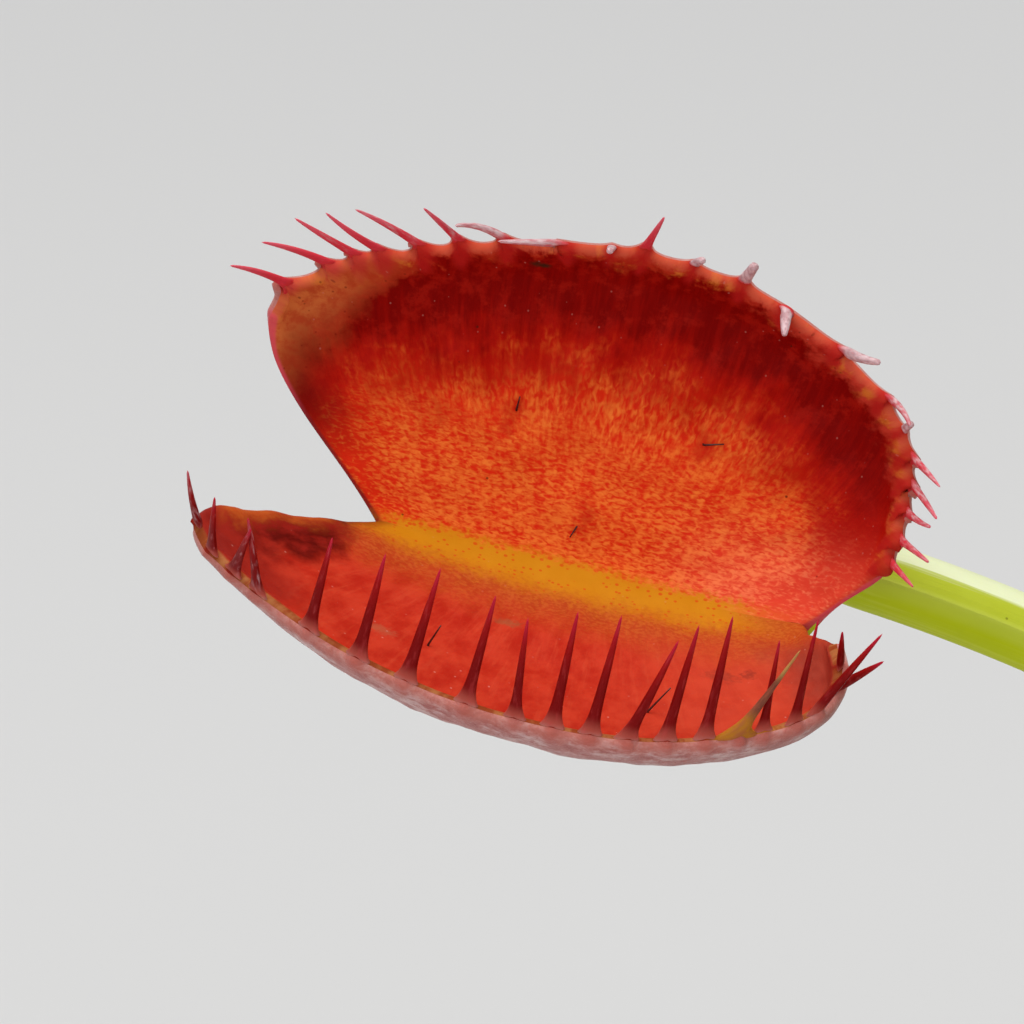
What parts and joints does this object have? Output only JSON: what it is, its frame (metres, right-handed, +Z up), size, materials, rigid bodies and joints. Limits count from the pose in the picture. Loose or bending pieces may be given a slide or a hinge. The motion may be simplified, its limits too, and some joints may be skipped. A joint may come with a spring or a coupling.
{
  "type": "potted venus flytrap",
  "caption": "Venus flytrap in a round tapered plant pot: a rosette of bladed stalks that end in hinged, spine-fringed red traps, one of them on a long stalk wide open.",
  "frame": {"origin": "middle of the pot's underside, on the surface that the pot stands on", "axes": "+Z up along the pot's axis; the long leaf with the largest trap reaches out along -X"},
  "size_m": [0.1545, 0.1334, 0.1338],
  "materials": {
    "stalk": "satin",
    "trap": "satin",
    "young_leaf": "satin",
    "crown": "satin",
    "soil": "matte",
    "pot": "satin"
  },
  "bodies": {
    "root": {"stalk_1": "stalk", "trap_1": "trap", "stalk_2": "stalk", "trap_2": "trap", "stalk_3": "stalk", "trap_3": "trap", "stalk_4": "stalk", "trap_4": "trap", "stalk_5": "stalk", "trap_5": "trap", "stalk_6": "stalk", "trap_6": "trap", "stalk_7": "stalk", "trap_7": "trap", "stalk_8": "stalk", "trap_8": "trap", "young_leaf_1": "young_leaf", "young_leaf_2": "young_leaf", "crown": "crown", "soil": "soil", "pot": "pot"}
  },
  "joints": []
}
